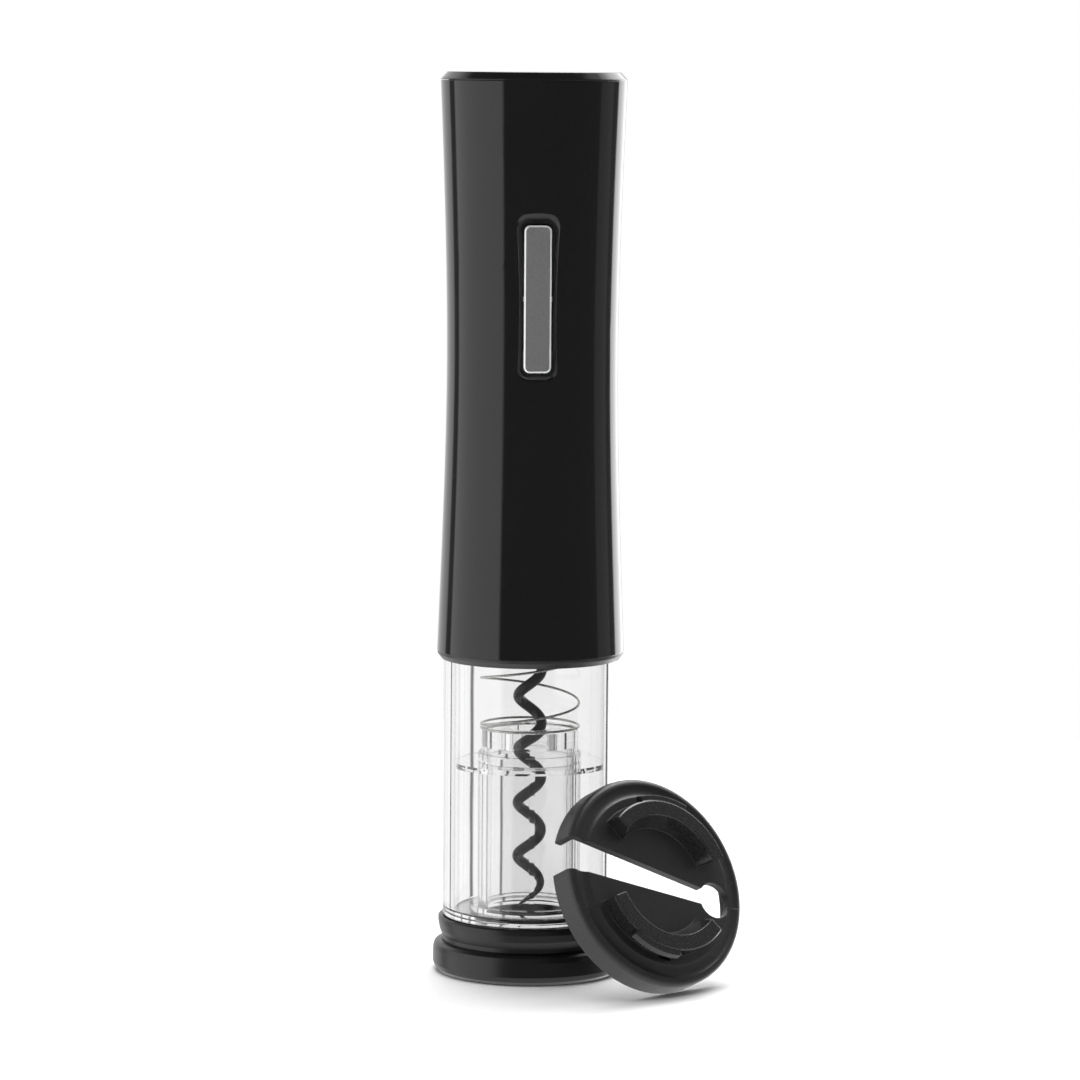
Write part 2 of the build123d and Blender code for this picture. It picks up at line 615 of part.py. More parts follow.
def make_chassis():
    inner = GEARBOX_RADIUS + 0.5
    chassis = with_ears(ring(TUBE_SPIGOT - 0.1, inner, CHASSIS_BOTTOM, SEAT_Z), CHASSIS_BOTTOM, SEAT_Z)
    chassis -= disc(SPRING_MEAN_RADIUS + SPRING_WIRE + 0.4, CHASSIS_BOTTOM - 1, SEAT_Z + 1)
    chassis -= ear_holes(M2_SHANK, CHASSIS_BOTTOM - 1, SEAT_Z + 1)
    chassis -= ear_holes(M2_HEAD, CHASSIS_BOTTOM - 1, SEAT_Z - 0.8)
    rail_inner = inner + 0.2
    rail_outer = min(rail_inner + 2.8, HOUSING_WAIST_RADIUS - HOUSING_WALL - 1.0)
    board_bottom = ROCKER_PIVOT_Z - ROCKER_LENGTH / 2 - 4.5
    for angle, top in ((40, HOLDER_Z), (140, HOLDER_Z), (270, board_bottom)):
        chassis += Rot(0, 0, angle) * block((rail_inner, rail_outer), (-3, 3), (SEAT_Z - 1, top))
    clamp_z = MOTOR_Z + MOTOR_LENGTH / 2
    chassis += ring(rail_inner + 0.8, MOTOR_RADIUS, clamp_z - 3, clamp_z + 3)
    deck = disc(HOLDER_RADIUS, DECK_Z, HOLDER_Z)
    board_back = BOARD_FRONT_Y + BOARD_THICK + 0.2
    reach = HOLDER_RADIUS + 1
    chassis += deck - block((-reach, reach), (-reach, board_back), (DECK_Z - 1, HOLDER_Z + 1))
    save("chassis_frame", chassis)


# ---- Batteries and their contacts ----
def cell_places():
    half = CELL_SPACING / 2
    return ((-half, -half), (half, -half), (half, half), (-half, half))


def make_contact_set(z_plate, z_end, spring_places, bump_places):
    """Round contact plates, with a bump for one cell end; returns the plates and the springs."""
    plate_low, plate_high = sorted((z_plate, z_plate + math.copysign(CONTACT_THICK, z_plate - z_end)))
    gap_low, gap_high = sorted((z_plate, z_end))
    plates = Part()
    for x, y in spring_places + bump_places:
        plates += disc(CONTACT_RADIUS, plate_low, plate_high, x, y)
    for x, y in bump_places:
        plates += disc(CELL_NUB_RADIUS - 0.5, gap_low, gap_high, x, y)
    wire = 0.25
    springs = Part()
    for x, y in spring_places:
        coils = closed_coil(3.0, wire, gap_low + wire) + closed_coil(3.0, wire, gap_high - wire)
        springs += Pos(x, y, 0) * coils
    return plates, springs


def make_batteries():
    places = cell_places()
    front_y = BOARD_FRONT_Y + BOARD_THICK + 0.2
    holder = block((-HOLDER_HALF, HOLDER_HALF), (front_y, HOLDER_HALF), (HOLDER_Z, HOLDER_TOP))
    holder &= disc(HOLDER_RADIUS, HOLDER_Z, HOLDER_TOP)
    for x, y in places:
        holder -= disc(CELL_RADIUS + CELL_GAP, CONTACT_Z, HOLDER_TOP + 1, x, y)
    for x in (-KEY_X, KEY_X):
        holder -= disc(KEY_RADIUS + 0.1, DISC_Z - KEY_LENGTH - 1, HOLDER_TOP + 1, x)
    save("battery_holder", holder)
    for index, (x, y) in enumerate(places):
        if index % 2 == 0:
            cell = disc(CELL_RADIUS, CELL_Z, CELL_TOP - CELL_NUB, x, y)
            cell += disc(CELL_NUB_RADIUS, CELL_TOP - CELL_NUB, CELL_TOP, x, y)
        else:
            cell = disc(CELL_RADIUS, CELL_Z + CELL_NUB, CELL_TOP, x, y)
            cell += disc(CELL_NUB_RADIUS, CELL_Z, CELL_Z + CELL_NUB, x, y)
        save(f"battery_cell_{index + 1}", cell)
    nub_up, nub_down = places[0::2], places[1::2]
    plates, springs = make_contact_set(CONTACT_Z + CONTACT_THICK, CELL_Z, nub_up, nub_down)
    save("lower_contacts", plates)
    save("contact_springs", springs)
    plates, springs = make_contact_set(DISC_Z - CONTACT_THICK, CELL_TOP + REST_GAP, nub_down, nub_up)
    save("cap_contacts", plates + springs)


# ---- Battery cap ----
def make_cap():
    disc_top = DISC_Z + DISC_THICK
    stud_top = HOUSING_TOP - 2.5
    carrier = disc(DISC_RADIUS, DISC_Z, disc_top) + disc(STUD_RADIUS, disc_top, stud_top)
    for x in (-KEY_X, KEY_X):
        carrier += disc(KEY_RADIUS, DISC_Z - KEY_LENGTH, DISC_Z, x)
    save("cap_contact_disc", carrier)
    seam = HOUSING_TOP + PARTING_GAP
    ceiling = HOUSING_TOP - 0.6
    inner = CAP_SKIRT_RADIUS - CAP_SKIRT_WALL
    cap = turned([
        (0, ceiling), (inner, ceiling), (inner, CAP_SKIRT_Z), (CAP_SKIRT_RADIUS, CAP_SKIRT_Z),
        (CAP_SKIRT_RADIUS, seam), (HOUSING_TOP_RADIUS, seam), (HOUSING_TOP_RADIUS, seam + 0.25),
        (HOUSING_TOP_RADIUS - CAP_BEVEL, HEIGHT), (0, HEIGHT),
    ])
    cap += ring(STUD_RADIUS + 2, STUD_RADIUS + RUNNING_GAP, disc_top + 0.5, ceiling + 0.2)
    half_width = math.radians(LUG_HALF_ANGLE) * CAP_SKIRT_RADIUS
    lug = block((inner + 0.5, CAP_SKIRT_RADIUS + LUG_REACH), (-half_width, half_width),
                (LUG_Z, LUG_Z + LUG_HEIGHT))
    lug &= disc(CAP_SKIRT_RADIUS + LUG_REACH, LUG_Z, LUG_Z + LUG_HEIGHT)
    cap += [Rot(0, 0, angle) * lug for angle in LUG_ANGLES]
    save("battery_cap", cap)


# ---- Rocker button and its switches ----
def make_rocker():
    z = ROCKER_PIVOT_Z
    sketch = RectangleRounded(ROCKER_WIDTH, ROCKER_LENGTH, ROCKER_CORNER)
    face = Pos(0, ROCKER_BACK_Y, z) * Rot(90, 0, 0) * extrude(sketch, ROCKER_DEPTH)
    front_edges = face.edges().filter_by_position(Axis.Y, ROCKER_FACE_Y - 0.01, ROCKER_FACE_Y + 0.01)
    button = chamfer(front_edges, ROCKER_EDGE)
    button += block((-3, 3), (ROCKER_BACK_Y - 0.5, ROCKER_PIVOT_Y + 1.6), (z - 2.4, z + 2.4))
    button += rod_along("x", 0.5, -ROCKER_WIDTH / 2 - 0.22, ROCKER_WIDTH / 2 + 0.22, ROCKER_FACE_Y + 0.9, z)
    button -= rod_along("x", ROCKER_PIN + RUNNING_GAP, -6, 6, ROCKER_PIVOT_Y, z)
    save("rocker_button", button)

    half_x = ROCKER_WIDTH / 2 + 1.05
    half_z = ROCKER_LENGTH / 2 + 1.1
    wall = 1.4
    outer = block((-half_x - wall, half_x + wall), (-30, BOARD_FRONT_Y),
                  (z - half_z - wall, z + half_z + wall))
    well = outer - block((-half_x, half_x), (-31, BOARD_FRONT_Y + 1), (z - half_z, z + half_z))
    well &= housing_core(HOUSING_WALL + 0.05)
    pin_end = half_x + 0.5
    pin = rod_along("x", ROCKER_PIN, -pin_end, pin_end, ROCKER_PIVOT_Y, z)
    save("rocker_well", well - pin)
    save("rocker_pin", pin)

    board_back = BOARD_FRONT_Y + BOARD_THICK
    board_low = max(z - BOARD_HALF_LENGTH, MOTOR_TOP + 0.3)
    save("switch_board", block((-6, 6), (BOARD_FRONT_Y, board_back), (board_low, z + BOARD_HALF_LENGTH)))
    tip_y = ROCKER_BACK_Y + ROCKER_TRAVEL + 0.15
    for name, middle in (("switch_down", z - SWITCH_OFFSET), ("switch_up", z + SWITCH_OFFSET)):
        case = block((-3, 3), (tip_y + 0.6, BOARD_FRONT_Y), (middle - 3, middle + 3))
        save(name, case + rod_along("y", 1.2, tip_y, BOARD_FRONT_Y, 0, middle))


# ---- Foil cutter ----
def opener_radius_at(z):
    if z < FOOT_HEIGHT + 0.2:
        return FOOT_RADIUS
    if z < COLLAR_TOP + 0.2:
        return COLLAR_RADIUS
    if z < HOUSING_BOTTOM - BEZEL_DROP:
        return TUBE_RADIUS
    return HOUSING_FOOT_RADIUS


def lean_axes():
    """Unit vectors of the leaning cutter: towards its hinge hole, and out of its plate face."""
    bearing, tilt, roll = (math.radians(a) for a in (LEAN_FACE_BEARING, LEAN_TILT, LEAN_ROLL))
    normal = Vector(math.cos(tilt) * math.sin(bearing), -math.cos(tilt) * math.cos(bearing), math.sin(tilt))
    level = Vector(math.cos(bearing), math.sin(bearing), 0)
    uphill = normal.cross(level)
    if uphill.Z < 0:
        uphill = -uphill
    return level * math.cos(roll) + uphill * math.sin(roll), normal


def lean_plane():
    """Where the cutter rests: its rim's lowest point on the floor, its rim's back on the opener."""
    x_dir, normal = lean_axes()
    y_dir = normal.cross(x_dir)
    height = CUTTER_DEPTH * normal.Z + CUTTER_RADIUS * math.sqrt(1 - normal.Z ** 2)
    bearing = math.radians(LEAN_BEARING)
    away = Vector(math.sin(bearing), -math.cos(bearing), 0)
    rim = []
    for step in range(360):
        turn = math.radians(step)
        spoke = (x_dir * math.cos(turn) + y_dir * math.sin(turn)) * CUTTER_RADIUS
        rim.append(spoke - normal * CUTTER_DEPTH + Vector(0, 0, height))
    near, far = 0.0, 4 * CUTTER_RADIUS
    for _ in range(40):
        middle = (near + far) / 2
        clear = True
        for spot in rim:
            place = spot + away * middle
            if math.hypot(place.X, place.Y) < opener_radius_at(place.Z) + LEAN_GAP:
                clear = False
        if clear:
            far = middle
        else:
            near = middle
    return Plane(origin=away * far + Vector(0, 0, height), x_dir=x_dir, z_dir=normal)


def cutter_shell():
    """The round cap: plateau, cove, rounded shoulder, and a thin rim round a hollow back."""
    shoulder = CUTTER_RADIUS - CUTTER_SHOULDER
    rim_top = -CUTTER_SHOULDER - 0.3
    bend = CUTTER_SHOULDER * (1 - math.sqrt(0.5))
    inner = CUTTER_RADIUS - CUTTER_WALL
    edges = [
        Line((0, 0, 0), (PLATEAU_RADIUS, 0, 0)),
        ThreePointArc((PLATEAU_RADIUS, 0, 0), ((PLATEAU_RADIUS + shoulder) / 2, 0, -COVE_DEPTH),
                      (shoulder, 0, -0.3)),
        ThreePointArc((shoulder, 0, -0.3), (CUTTER_RADIUS - bend, 0, -0.3 - bend),
                      (CUTTER_RADIUS, 0, rim_top)),
        *Polyline((CUTTER_RADIUS, 0, rim_top), (CUTTER_RADIUS, 0, -CUTTER_DEPTH), (inner, 0, -CUTTER_DEPTH),
                  (inner, 0, -CUTTER_PLATE), (0, 0, -CUTTER_PLATE), (0, 0, 0)).edges(),
    ]
    return revolve(make_face(edges), Axis.Z)


def cutter_slot():
    throat_x = HINGE_HOLE_X - HINGE_HOLE_RADIUS / 2
    mouth_x = -CUTTER_RADIUS - 1
    corners = [(throat_x, SLOT_THROAT / 2), (mouth_x, SLOT_MOUTH / 2),
               (mouth_x, -SLOT_MOUTH / 2), (throat_x, -SLOT_THROAT / 2)]
    wedge = Pos(0, 0, -20) * extrude(make_face(Polyline(*corners, close=True)), 40)
    return wedge + disc(HINGE_HOLE_RADIUS, -20, 20, HINGE_HOLE_X)


def sector(outline, start, end):
    return Rot(0, 0, start) * turned(outline, end - start)


def cutter_plug():
    """One arc of the split plug that fits the bottle bore, with its clip."""
    edge = 0.5
    arc = sector([
        (PLUG_INNER_FOOT, -0.5), (PLUG_OUTER + 0.2, -0.5), (PLUG_OUTER, PLUG_HEIGHT - edge),
        (PLUG_OUTER - edge, PLUG_HEIGHT), (PLUG_INNER_TOP + 0.2, PLUG_HEIGHT),
        (PLUG_INNER_TOP, PLUG_HEIGHT - 0.3),
    ], *PLUG_ANGLES)
    low, high = CLIP_HEIGHTS
    reach = PLUG_OUTER + CLIP_REACH
    clip = sector([(PLUG_OUTER - 1, low), (reach - 0.6, low), (reach, low + 0.6), (reach - 0.5, high),
                   (PLUG_OUTER - 1, high)], *CLIP_ANGLES)
    pocket_outer = reach - 0.6
    pocket = sector([
        (PLUG_OUTER + 0.3, -CLIP_POCKET_DEPTH), (pocket_outer, -CLIP_POCKET_DEPTH), (pocket_outer, 1),
        (PLUG_OUTER + 0.3, 1),
    ], *CLIP_POCKET_ANGLES)
    return arc + clip, pocket


def wheel_places(side):
    return [at_polar(WHEEL_CENTRE, side * angle) for angle in (WHEEL_ANGLE, 180 - WHEEL_ANGLE)]


def cutter_half(side):
    """Half of the cutter with its plug arc and wheel bosses; side is +1 above the slot."""
    reach = CUTTER_RADIUS + 2
    keep = block((-reach, reach), sorted((side * JAW_PARTING / 2, side * reach)), (-30, 30))
    plug, pocket = cutter_plug()
    if side < 0:
        plug, pocket = plug.mirror(Plane.XZ), pocket.mirror(Plane.XZ)
    half = (cutter_shell() & keep) - pocket + plug
    for x, y in wheel_places(side):
        half += disc(WHEEL_HUB, -CUTTER_PLATE - WHEEL_BOSS, -CUTTER_PLATE + 0.5, x, y)
        half -= disc(WHEEL_PIN, -CUTTER_DEPTH, -CUTTER_PLATE + WHEEL_PIN_SUNK, x, y)
    return half - cutter_slot()


def wheel_pins(side):
    head = -CUTTER_PLATE - WHEEL_BOSS - WHEEL_SPACE
    pins = Part()
    for x, y in wheel_places(side):
        pins += disc(WHEEL_PIN, head, -CUTTER_PLATE + WHEEL_PIN_SUNK, x, y)
        pins += disc(WHEEL_PIN + 0.8, head - 0.7, head, x, y)
    return pins


def cutting_wheel(x, y):
    hub_top = -CUTTER_PLATE - WHEEL_BOSS - RUNNING_GAP
    hub_low = hub_top - WHEEL_SPACE + 2 * RUNNING_GAP
    middle = (hub_top + hub_low) / 2
    bore = WHEEL_PIN + RUNNING_GAP
    wheel = turned([
        (bore, hub_low), (WHEEL_HUB, hub_low), (WHEEL_HUB, middle - 0.25),
        (WHEEL_RADIUS - 0.6, middle - 0.25), (WHEEL_RADIUS, middle), (WHEEL_RADIUS - 0.6, middle + 0.25),
        (WHEEL_HUB, middle + 0.25), (WHEEL_HUB, hub_top), (bore, hub_top),
    ])
    return Pos(x, y, 0) * wheel


def make_cutter():
    place = lean_plane().location
    save("cutter_body", place * cutter_half(-1))
    save("cutter_jaw", place * cutter_half(1))
    save("cutter_body_pins", place * wheel_pins(-1))
    save("cutter_jaw_pins", place * wheel_pins(1))
    for index, (x, y) in enumerate(wheel_places(-1) + wheel_places(1)):
        save(f"cutter_wheel_{index + 1}", place * cutting_wheel(x, y))


def main():
    os.makedirs("parts", exist_ok=True)
    make_housing()
    make_tube_and_base()
    make_guide()
    shaft_low = make_worm()
    make_gearbox(shaft_low)
    make_motor()
    make_chassis()
    make_batteries()
    make_cap()
    make_rocker()
    make_cutter()


main()
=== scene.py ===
import math

import bmesh
import bpy
from mathutils import Matrix, Vector


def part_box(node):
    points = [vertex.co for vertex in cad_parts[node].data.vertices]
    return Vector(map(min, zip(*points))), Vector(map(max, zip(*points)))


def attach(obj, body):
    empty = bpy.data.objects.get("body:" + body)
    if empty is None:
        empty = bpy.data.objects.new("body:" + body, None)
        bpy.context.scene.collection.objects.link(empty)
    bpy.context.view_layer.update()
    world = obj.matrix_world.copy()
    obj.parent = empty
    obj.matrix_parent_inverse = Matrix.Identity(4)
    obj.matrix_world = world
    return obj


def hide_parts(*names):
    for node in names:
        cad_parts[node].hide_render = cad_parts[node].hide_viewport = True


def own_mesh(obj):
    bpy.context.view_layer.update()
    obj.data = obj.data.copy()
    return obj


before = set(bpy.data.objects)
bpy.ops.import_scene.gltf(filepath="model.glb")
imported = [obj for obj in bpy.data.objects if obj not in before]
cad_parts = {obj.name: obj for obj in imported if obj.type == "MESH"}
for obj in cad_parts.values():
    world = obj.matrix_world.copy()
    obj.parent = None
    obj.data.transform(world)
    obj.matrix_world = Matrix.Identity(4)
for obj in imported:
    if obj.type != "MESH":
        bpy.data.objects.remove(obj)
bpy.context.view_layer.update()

# Battery-driven wine opener standing on its base, with its foil cutter leaning on it.
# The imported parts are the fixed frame. This script adds finishes, a finer spring, worm and clear tube, light
# and a camera.
# Lengths are in metres unless a name says millimetres.

MM = 0.001

# ---- Camera ----
CAMERA_BEARING = -3.3
CAMERA_DISTANCE = 1.3
CAMERA_HEIGHT = 0.2645
CAMERA_YAW = -0.1126
CAMERA_PITCH = -6.1
CAMERA_ROLL = 0.41
CAMERA_LENS = 150.93
CAMERA_SENSOR = 36

# ---- Room ----
FLOOR_RADIUS = 0.5
FLOOR_SEGMENTS = 96
ROOM_WHITE = 1.0
ROOM_DIM = 0.2
ROOM_CEILING = 0.12
# Upward part of a direction over which the dim ceiling, and the white from below, fade in.
CEILING_FADE = (0.55, 0.75)
BELOW_FADE = (-0.4, -0.7)
# Bearings in degrees from the camera's side, left negative, with the strength of each lit area.
AREA_FADE = 1.5
ROOM_AREAS = (
    (-190, -130, ROOM_WHITE),
    (-117, -39, 1.25),
    (92, 117, 0.4),
    (130, 166, 3.0),
    (166, 190, ROOM_WHITE),
)
# Through the clear parts the room is seen as it is only this many degrees to each side of the object's front.
CLEAR_FRONT = 126
# Bearings of narrow black flags beside the cove; they draw dark edge lines in the clear parts only.
FLAG_FADE = 0.4
FLAG_BLACK = 0.02
ROOM_FLAGS = ((-171, -169.5), (-145, -141.5), (134.5, 139.5))
# A soft box above and behind: its direction, strength, and the angles from its middle where it fades.
TOP_BOX_TOWARD = Vector((0.15, 0.5, 0.85)).normalized()
TOP_BOX = 6.0
TOP_BOX_FADE = (27, 15)
# Soft light overhead that gloss doesn't mirror.
OVERHEAD_HEIGHT = 1.4
OVERHEAD_SIZE = 1.6
OVERHEAD_POWER = 20

# ---- Guide spring: drawn wire ----
SPRING_WIRE = 0.7 * MM
SPRING_DEAD_RISE = SPRING_WIRE + 0.1 * MM
# The drawn wire has this much of the real radius, which keeps it inside its CAD box.
SPRING_DRAWN = 0.995
SPRING_PITCH = 13.7 * MM
SPRING_LIFT_ANGLE = 186.5
SPRING_STEPS_PER_TURN = 64
SPRING_SIDES = 14

# ---- Clear tube ----
TUBE_BORE = 21.7 * MM
TUBE_FLOOR = 2.0 * MM
TUBE_SHOULDER = 93.2 * MM
SPIGOT_RADIUS = 23.6 * MM
BOTTLE_BORE = 15.9 * MM
TUBE_AIR_GAP = 0.12 * MM
TUBE_SEGMENTS = 256
ROUNDING_STEPS = 5
ROUNDING_GUARD = 0.05 * MM

# ---- Foil cutter: its plate's middle and the way it faces ----
CUTTER_PLACE = Vector((35.05, -31.56, 31.56)) * MM
CUTTER_FACING = Vector((0.5445, -0.7122, 0.4431))

# ---- Worm: coated steel wire ----
WORM_WIRE = 3.1 * MM
WORM_PITCH = 15.6 * MM
WORM_PEAK = 25.9 * MM
WORM_TAPER = 17.0 * MM
WORM_TAPER_POWER = 0.75
WORM_TIP = 0.1
WORM_LOWER_ROOM = 0.3 * MM
WORM_UPPER_ROOM = 0.4 * MM
WORM_STEPS = 420
WORM_SIDES = 24


# ---- Colours and nodes ----
def srgb(text):
    """Linear colour from an sRGB hex value such as 1a1b1c."""
    channels = [int(text[start:start + 2], 16) / 255 for start in (0, 2, 4)]
    linear = [c / 12.92 if c <= 0.04045 else ((c + 0.055) / 1.055) ** 2.4 for c in channels]
    return (*linear, 1.0)


def add(tree, kind, inputs=None, **settings):
    """Adds a node with its settings. Each input gets a value, or a link from another node's output."""
    node = tree.nodes.new(kind)
    for name, value in settings.items():
        setattr(node, name, value)
    for name, value in (inputs or {}).items():
        if isinstance(value, bpy.types.NodeSocket):
            tree.links.new(value, node.inputs[name])
        else:
            node.inputs[name].default_value = value
    return node


def new_material(name):
    """Empty node material, and its tree."""
    material = bpy.data.materials.new(name)
    material.use_nodes = True
    material.node_tree.nodes.clear()
    return material, material.node_tree


def finished(material, tree, inputs):
    """Joins a surface shader with these inputs to the material's output."""
    surface = add(tree, "ShaderNodeBsdfPrincipled", inputs)
    add(tree, "ShaderNodeOutputMaterial", {"Surface": surface.outputs["BSDF"]})
    return material


def position(tree, stretch=(1, 1, 1)):
    """Object coordinates, multiplied along each axis; a factor under 1 draws a pattern out."""
    place = add(tree, "ShaderNodeTexCoord")
    mapping = add(tree, "ShaderNodeMapping", {"Vector": place.outputs["Object"], "Scale": stretch})
    return mapping.outputs["Vector"]


def ranged(tree, value, start, end, low=0.0, high=1.0):
    """Value that goes from low to high while the given value goes from start to end."""
    node = add(tree, "ShaderNodeMapRange",
               {"Value": value, "From Min": start, "From Max": end, "To Min": low, "To Max": high})
    return node.outputs["Result"]


def mottle(tree, size_mm, low, high, stretch=(1, 1, 1)):
    """Value that wanders between low and high in patches about size_mm across."""
    noise = add(tree, "ShaderNodeTexNoise",
                {"Vector": position(tree, stretch), "Scale": 1000 / size_mm, "Detail": 3.0})
    return ranged(tree, noise.outputs["Fac"], 0.3, 0.7, low, high)


def relief(tree, size_mm, height_mm, stretch=(1, 1, 1), edge_mm=0.0, strength=1.0):
    """Bumps about size_mm across and height_mm high, on edges rounded by edge_mm."""
    noise = add(tree, "ShaderNodeTexNoise",
                {"Vector": position(tree, stretch), "Scale": 1000 / size_mm, "Detail": 2.0})
    inputs = {"Height": noise.outputs["Fac"], "Distance": height_mm * MM, "Strength": strength}
    if edge_mm:
        edge = add(tree, "ShaderNodeBevel", {"Radius": edge_mm * MM}, samples=8)
        inputs["Normal"] = edge.outputs["Normal"]
    return add(tree, "ShaderNodeBump", inputs).outputs["Normal"]


def blended(tree, factor, first, second):
    """Colour between two, each an sRGB hex value or another node's colour."""
    ends = [end if isinstance(end, bpy.types.NodeSocket) else srgb(end) for end in (first, second)]
    mix = add(tree, "ShaderNodeMix", {"Factor": factor, 6: ends[0], 7: ends[1]}, data_type="RGBA")
    return mix.outputs[2]


def between(tree, factor, low, high):
    """Value between two, each a number or another node's output."""
    mix = add(tree, "ShaderNodeMix", {"Factor": factor, 2: low, 3: high}, data_type="FLOAT")
    return mix.outputs[0]


# ---- Plastics ----
def gloss_moulded_abs():
    """ABS from a mirror-polished tool: deep black, sharp reflections, a faint long wave and haze."""
    material, tree = new_material("gloss_moulded_abs")
    return finished(material, tree, {
        "Base Color": blended(tree, mottle(tree, 40, 0, 1), "060607", "0a0a0b"),
        "Roughness": mottle(tree, 9, 0.06, 0.1),
        "IOR": 1.54,
        "Normal": relief(tree, 30, 0.02, edge_mm=0.35),
    })


def satin_moulded_abs():
    """ABS from a fine-blasted tool: soft highlights and a grain drawn at 0.5 mm so that it shows."""
    material, tree = new_material("satin_moulded_abs")
    return finished(material, tree, {
        "Base Color": blended(tree, mottle(tree, 12, 0, 1), "070708", "0c0c0d"),
        "Roughness": mottle(tree, 15, 0.3, 0.34),
        "IOR": 1.54,
        "Normal": relief(tree, 0.5, 0.001, edge_mm=0.3),
    })


def spark_eroded_abs():
    """ABS moulded in a spark-eroded tool: a 0.45 mm speckle on the plate, and polished raised rims."""
    material, tree = new_material("spark_eroded_abs")
    height = add(tree, "ShaderNodeVectorMath", {0: position(tree), 1: CUTTER_FACING},
                 operation="DOT_PRODUCT")
    plate = CUTTER_PLACE.dot(CUTTER_FACING)
    raised = ranged(tree, height.outputs["Value"], plate + 0.2 * MM, plate + 0.5 * MM)
    return finished(material, tree, {
        "Base Color": blended(tree, mottle(tree, 0.5, 0, 1), "1e1e1f", "2b2b2c"),
        "Roughness": between(tree, raised, mottle(tree, 0.7, 0.34, 0.46), 0.16),
        "IOR": 1.54,
        "Normal": relief(tree, 0.45, 0.03, edge_mm=0.5, strength=ranged(tree, raised, 0, 1, 1, 0.03)),
    })


def grey_bezel_abs():
    """ABS with a satin grey paint: even and soft, with a fine 0.4 mm orange peel."""
    material, tree = new_material("grey_bezel_abs")
    return finished(material, tree, {
        "Base Color": blended(tree, mottle(tree, 6, 0, 1), "2c2c2d", "343435"),
        "Roughness": mottle(tree, 3, 0.3, 0.4),
        "IOR": 1.54,
        "Normal": relief(tree, 0.4, 0.006, edge_mm=0.3),
    })


def clear_moulded_polycarbonate():
    """Water-clear moulded polycarbonate: polished, with slow flow waves that bend what is behind."""
    material, tree = new_material("clear_moulded_polycarbonate")
    return finished(material, tree, {
        "Base Color": blended(tree, mottle(tree, 30, 0, 1), "fefefe", "fafafa"),
        "Roughness": mottle(tree, 5, 0.0, 0.015),
        "IOR": 1.585,
        "Transmission Weight": 1.0,
        "Normal": relief(tree, 14, 0.025, stretch=(1, 1, 0.35)),
    })


def silver_painted_abs():
    """ABS with matt silver paint: fine even flake, and a painted highlight: a near-white line painted on its
    chamfered edge.
    """
    material, tree = new_material("silver_painted_abs")
    facing = add(tree, "ShaderNodeSeparateXYZ",
                 {"Vector": add(tree, "ShaderNodeTexCoord").outputs["Normal"]})
    # Painted highlight: where the normal turns more than about 18 to 32 degrees from the front (the chamfer
    # all round, and the sides), the paint is mixed to near white, less metallic and glossier. This draws the
    # bright line of light along the edge.
    edge = ranged(tree, facing.outputs["Y"], -0.95, -0.85)
    paint = blended(tree, mottle(tree, 0.35, 0, 1), "a4a4a4", "b4b4b4")
    return finished(material, tree, {
        "Base Color": blended(tree, edge, paint, "fbfbfb"),
        "Metallic": between(tree, edge, 0.85, 0.1),
        "Roughness": between(tree, edge, mottle(tree, 0.5, 0.42, 0.5), 0.2),
        "Normal": relief(tree, 0.35, 0.003),
    })


def moulded_rubber():
    """Black rubber sheet: dull, with a dusty 1 mm mottle."""
    material, tree = new_material("moulded_rubber")
    return finished(material, tree, {
        "Base Color": blended(tree, mottle(tree, 1.0, 0, 1), "151515", "222222"),
        "Roughness": mottle(tree, 2, 0.7, 0.9),
        "IOR": 1.52,
        "Normal": relief(tree, 0.7, 0.04),
    })


def glass_filled_nylon():
    """Dark glass-filled nylon: short fibres leave a dull streaked skin, 3 mm long."""
    material, tree = new_material("glass_filled_nylon")
    return finished(material, tree, {
        "Base Color": blended(tree, mottle(tree, 1.2, 0, 1, stretch=(1, 1, 0.3)), "232426", "303134"),
        "Roughness": mottle(tree, 1.0, 0.45, 0.62),
        "IOR": 1.53,
        "Normal": relief(tree, 0.8, 0.02, stretch=(1, 1, 0.3), edge_mm=0.2),
    })


def motor_end_nylon():
    """Natural white nylon, moulded: slightly warm, soft sheen."""
    material, tree = new_material("motor_end_nylon")
    return finished(material, tree, {
        "Base Color": blended(tree, mottle(tree, 4, 0, 1), "dedbd0", "e8e5dc"),
        "Roughness": mottle(tree, 2, 0.38, 0.5),
        "IOR": 1.53,
        "Subsurface Weight": 0.15,
        "Subsurface Radius": (0.001, 0.0008, 0.0006),
        "Normal": relief(tree, 0.8, 0.01, edge_mm=0.2),
    })


def switch_nylon():
    """Black nylon of a small tact switch: matt, with a 0.6 mm grain."""
    material, tree = new_material("switch_nylon")
    return finished(material, tree, {
        "Base Color": blended(tree, mottle(tree, 1, 0, 1), "161617", "1f1f20"),
        "Roughness": mottle(tree, 1.5, 0.42, 0.55),
        "IOR": 1.53,
        "Normal": relief(tree, 0.6, 0.012, edge_mm=0.15),
    })


def moulded_acetal():
    """Natural acetal gears: waxy off-white with a light sheen."""
    material, tree = new_material("moulded_acetal")
    return finished(material, tree, {
        "Base Color": blended(tree, mottle(tree, 3, 0, 1), "e3dfd2", "eeebe2"),
        "Roughness": mottle(tree, 1.5, 0.3, 0.42),
        "IOR": 1.48,
        "Subsurface Weight": 0.2,
        "Subsurface Radius": (0.001, 0.0009, 0.0007),
        "Normal": relief(tree, 0.5, 0.008, edge_mm=0.08),
    })


# ---- Metals ----
def coated_worm_steel():
    """Steel wire with a sprayed black non-stick coat: satin, with a fine 0.4 mm orange peel."""
    material, tree = new_material("coated_worm_steel")
    return finished(material, tree, {
        "Base Color": blended(tree, mottle(tree, 1.2, 0, 1), "17171a", "232326"),
        "Roughness": mottle(tree, 1.0, 0.26, 0.38),
        "IOR": 1.4,
        "Normal": relief(tree, 0.4, 0.012),
    })


